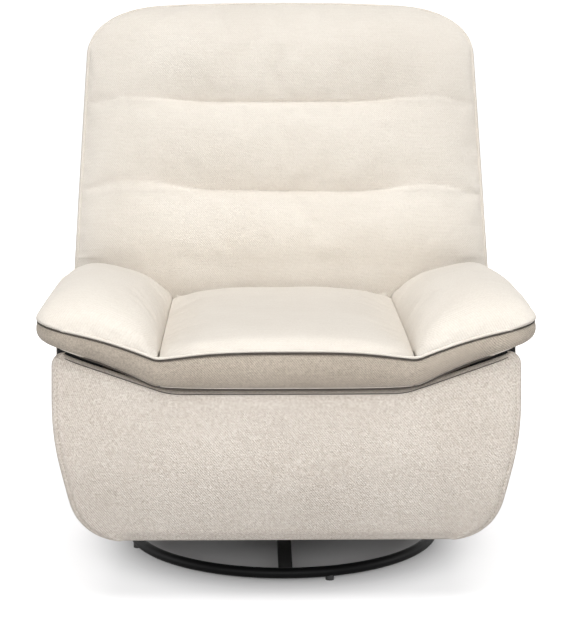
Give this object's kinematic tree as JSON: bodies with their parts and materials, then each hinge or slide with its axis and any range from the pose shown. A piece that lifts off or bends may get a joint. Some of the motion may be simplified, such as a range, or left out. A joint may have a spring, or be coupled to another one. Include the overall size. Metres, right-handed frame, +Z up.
{
  "type": "swivel rocker recliner",
  "caption": "Upholstered swivel rocker recliner with channelled back pillows, winged arm pads, fold-out legrest panel and a round black steel base.",
  "frame": {"origin": "on the floor, on the swivel axis, under the middle of the chair", "axes": "+X to the right as seen from the front, +Y to the rear, +Z up; the chair faces -Y"},
  "size_m": [0.8746, 0.9104, 1.0399],
  "materials": {
    "cover_fabric": "cream twill weave",
    "black_steel": "satin black powder coat",
    "bright_steel": "zinc plated",
    "black_plastic": "moulded",
    "frame_wood": "plain plywood",
    "webbing": "elastic webbing",
    "dust_cloth": "stiffened black cloth"
  },
  "bodies": {
    "base": {"base_ring": "black_steel", "base_spokes": "black_steel", "base_glides": "black_plastic", "hub_plate": "black_steel", "bearing_lower_race": "bright_steel", "hub_rivets": "bright_steel", "king_pin": "bright_steel", "king_nut": "bright_steel"},
    "bearing_cage": {"bearing_cage": "black_plastic", "bearing_balls": "bright_steel"},
    "turntable": {"bearing_upper_race": "bright_steel", "turntable_plate": "black_steel", "rocker_channels": "black_steel", "rocker_pins": "bright_steel", "rocker_springs": "bright_steel"},
    "back": {"back_brackets": "black_steel", "back_posts": "frame_wood", "back_rails": "frame_wood", "back_webbing": "webbing", "back_cushion": "cover_fabric", "back_lower_roll": "cover_fabric", "back_shell": "cover_fabric"},
    "front_links": {"front_links": "black_steel", "torque_tube": "black_steel", "front_link_rivets": "bright_steel"},
    "rear_links": {"rear_links": "black_steel", "rear_link_rivets": "bright_steel"},
    "upper_links": {"upper_links": "black_steel", "upper_link_rivets": "bright_steel"},
    "lower_links": {"lower_links": "black_steel", "lower_link_rivets": "bright_steel"},
    "legrest": {"legrest_brackets": "black_steel", "legrest_board": "frame_wood", "legrest_panel": "cover_fabric"},
    "release": {"release_lever": "black_plastic", "release_shaft": "bright_steel"},
    "chassis": {"seat_cushion": "cover_fabric", "arm_pad_left": "cover_fabric", "arm_pad_right": "cover_fabric", "side_shell_left": "cover_fabric", "side_shell_right": "cover_fabric", "rear_panel": "cover_fabric", "rocker_arms": "black_steel", "spring_seats": "black_steel", "cross_tubes": "black_steel", "mechanism_plate_left": "black_steel", "mechanism_plate_right": "black_steel", "frame_bolts": "bright_steel", "plate_rivets": "bright_steel", "recline_pins": "bright_steel", "rocker_bushes": "black_plastic", "release_escutcheon": "black_plastic", "side_frame_left": "frame_wood", "side_frame_right": "frame_wood", "seat_rail_front": "frame_wood", "seat_rail_rear": "frame_wood", "base_rails": "frame_wood", "seat_webbing": "webbing", "dust_covers": "dust_cloth"}
  },
  "joints": [
    {"name": "swivel", "type": "hinge", "parent": "base", "child": "turntable", "pos_m": [0, 0, 0.0465], "axis": [0, 0, 1], "continuous": true},
    {"name": "cage_turn", "type": "hinge", "parent": "base", "child": "bearing_cage", "pos_m": [0, 0, 0.0365], "axis": [0, 0, 1], "continuous": true},
    {"name": "rock", "type": "hinge", "parent": "turntable", "child": "chassis", "pos_m": [0, 0, 0.14], "axis": [1, 0, 0], "range_deg": [-8, 8], "stiffness_Nm_per_rad": 620, "springref_deg": 1.72, "deforming": ["rocker_springs"]},
    {"name": "recline", "type": "hinge", "parent": "chassis", "child": "back", "pos_m": [0, 0.212, 0.415], "axis": [-1, 0, 0], "range_deg": [0, 40]},
    {"name": "legrest", "type": "hinge", "parent": "chassis", "child": "front_links", "pos_m": [0, -0.23, 0.415], "axis": [-1, 0, 0], "range_deg": [0, 85]},
    {"name": "rear_link_turn", "type": "hinge", "parent": "chassis", "child": "rear_links", "pos_m": [0, -0.17375, 0.395], "axis": [-1, 0, 0], "range_deg": [0, 85]},
    {"name": "upper_link_turn", "type": "hinge", "parent": "front_links", "child": "upper_links", "pos_m": [0, -0.12, 0.195], "axis": [-1, 0, 0], "range_deg": [-85, 0]},
    {"name": "lower_link_turn", "type": "hinge", "parent": "front_links", "child": "lower_links", "pos_m": [0, -0.142, 0.239], "axis": [-1, 0, 0], "range_deg": [-85, 0]},
    {"name": "panel_turn", "type": "hinge", "parent": "upper_links", "child": "legrest", "pos_m": [0, -0.345, 0.275], "axis": [-1, 0, 0], "range_deg": [0, 85]},
    {"name": "release", "type": "hinge", "parent": "chassis", "child": "release", "pos_m": [0, 0.095, 0.412], "axis": [-1, 0, 0], "range_deg": [0, 25], "stiffness_Nm_per_rad": 2, "springref_deg": -8.59}
  ],
  "couplings": [
    {"joint": "cage_turn", "follows": "swivel", "ratio": 0.5},
    {"joint": "rear_link_turn", "follows": "legrest", "ratio": 1},
    {"joint": "upper_link_turn", "follows": "legrest", "ratio": -1},
    {"joint": "lower_link_turn", "follows": "legrest", "ratio": -1},
    {"joint": "panel_turn", "follows": "legrest", "ratio": 1}
  ]
}
